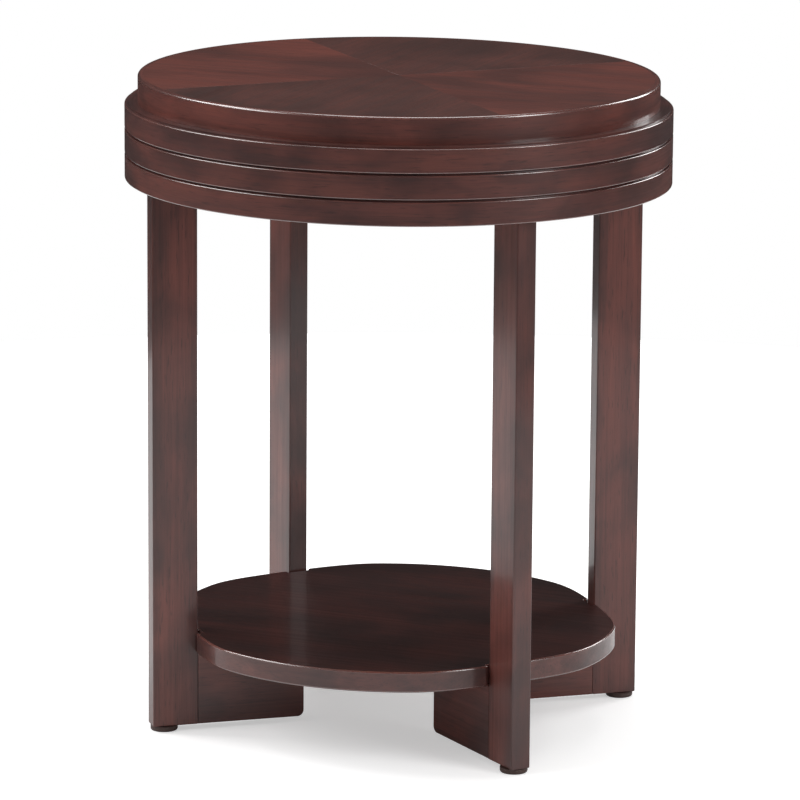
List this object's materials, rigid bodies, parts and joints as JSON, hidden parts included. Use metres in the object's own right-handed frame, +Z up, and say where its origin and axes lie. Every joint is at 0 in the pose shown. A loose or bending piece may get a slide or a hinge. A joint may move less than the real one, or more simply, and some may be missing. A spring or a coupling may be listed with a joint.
{
  "type": "oval end table",
  "caption": "Oval end table: raised veneered top on a grooved apron, board legs with inner foot boards, and a low oval shelf between them.",
  "frame": {"origin": "on the floor, under the middle of the top", "axes": "+X along the long axis of the oval, to the right seen from the front; +Y to the back; +Z up"},
  "size_m": [0.5, 0.476, 0.597],
  "materials": {
    "cherry_lacquer": "dark cherry stain under satin lacquer",
    "veneer_red": "dark cherry veneer under semi-gloss lacquer, redder leaves",
    "veneer_brown": "dark cherry veneer under semi-gloss lacquer, browner leaves",
    "core_board": "bare fibreboard",
    "beech_dowel": "bare fluted beech",
    "zinc_screw": "zinc plated",
    "glide_nylon": "moulded dark brown nylon"
  },
  "bodies": {
    "root": {"top_core": "core_board", "top_lipping": "cherry_lacquer", "veneer_right": "veneer_red", "veneer_left": "veneer_red", "veneer_front": "veneer_brown", "veneer_back": "veneer_brown", "apron_ring_upper": "cherry_lacquer", "apron_ring_middle": "cherry_lacquer", "apron_ring_lower": "cherry_lacquer", "top_screw_right": "zinc_screw", "top_screw_back": "zinc_screw", "top_screw_left": "zinc_screw", "top_screw_front": "zinc_screw", "leg_front_right": "cherry_lacquer", "leg_back_right": "cherry_lacquer", "leg_back_left": "cherry_lacquer", "leg_front_left": "cherry_lacquer", "foot_front_right": "cherry_lacquer", "foot_back_right": "cherry_lacquer", "foot_back_left": "cherry_lacquer", "foot_front_left": "cherry_lacquer", "glide_front_right": "glide_nylon", "glide_back_right": "glide_nylon", "glide_back_left": "glide_nylon", "glide_front_left": "glide_nylon", "leg_dowel_front_right_1": "beech_dowel", "leg_dowel_front_right_2": "beech_dowel", "leg_dowel_back_right_1": "beech_dowel", "leg_dowel_back_right_2": "beech_dowel", "leg_dowel_back_left_1": "beech_dowel", "leg_dowel_back_left_2": "beech_dowel", "leg_dowel_front_left_1": "beech_dowel", "leg_dowel_front_left_2": "beech_dowel", "foot_dowel_front_right_1": "beech_dowel", "foot_dowel_front_right_2": "beech_dowel", "foot_dowel_back_right_1": "beech_dowel", "foot_dowel_back_right_2": "beech_dowel", "foot_dowel_back_left_1": "beech_dowel", "foot_dowel_back_left_2": "beech_dowel", "foot_dowel_front_left_1": "beech_dowel", "foot_dowel_front_left_2": "beech_dowel", "shelf_screw_front_right": "zinc_screw", "shelf_screw_back_right": "zinc_screw", "shelf_screw_back_left": "zinc_screw", "shelf_screw_front_left": "zinc_screw", "shelf": "cherry_lacquer"}
  },
  "joints": []
}
